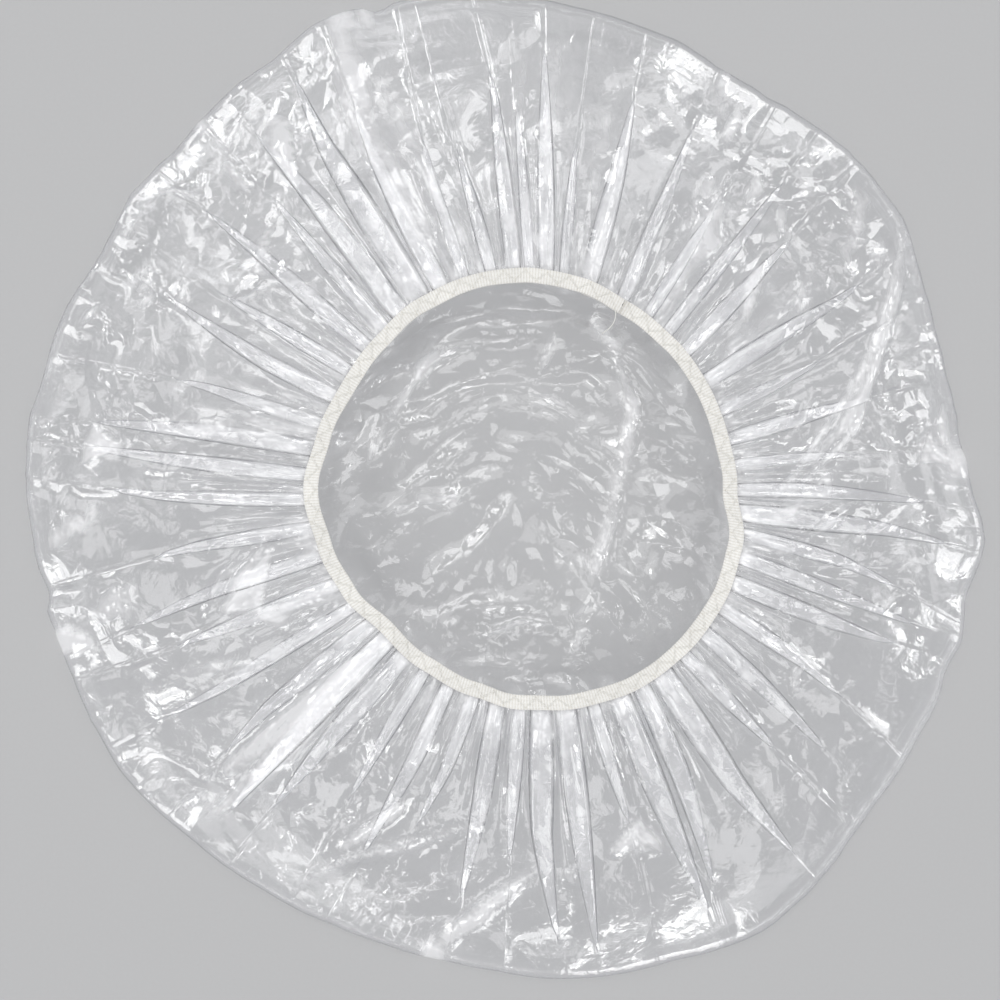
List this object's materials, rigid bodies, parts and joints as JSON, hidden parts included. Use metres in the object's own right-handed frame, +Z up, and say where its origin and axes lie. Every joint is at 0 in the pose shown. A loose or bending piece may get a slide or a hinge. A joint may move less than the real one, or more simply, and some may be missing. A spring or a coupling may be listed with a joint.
{
  "type": "shower cap",
  "caption": "Disposable clear film shower cap lying on its crown, gathered in pleats onto a flat white elastic band round the open mouth",
  "frame": {"origin": "middle of the crown's underside, on the surface that the cap lies on", "axes": "+Z up through the open mouth, X and Y in the surface that the cap lies on"},
  "size_m": [0.2997, 0.3088, 0.0196],
  "materials": {
    "film": "thin clear glossy film, faintly milky where folded",
    "elastic_knit": "white knitted elastic with fine ribs",
    "core_rubber": "pale latex thread",
    "thread": "white spun sewing thread"
  },
  "bodies": {
    "root": {"film_cap": "film", "elastic_band": "elastic_knit", "rubber_core_inner": "core_rubber", "rubber_core_middle": "core_rubber", "rubber_core_outer": "core_rubber", "needle_thread": "thread", "bobbin_thread": "thread"}
  },
  "joints": []
}
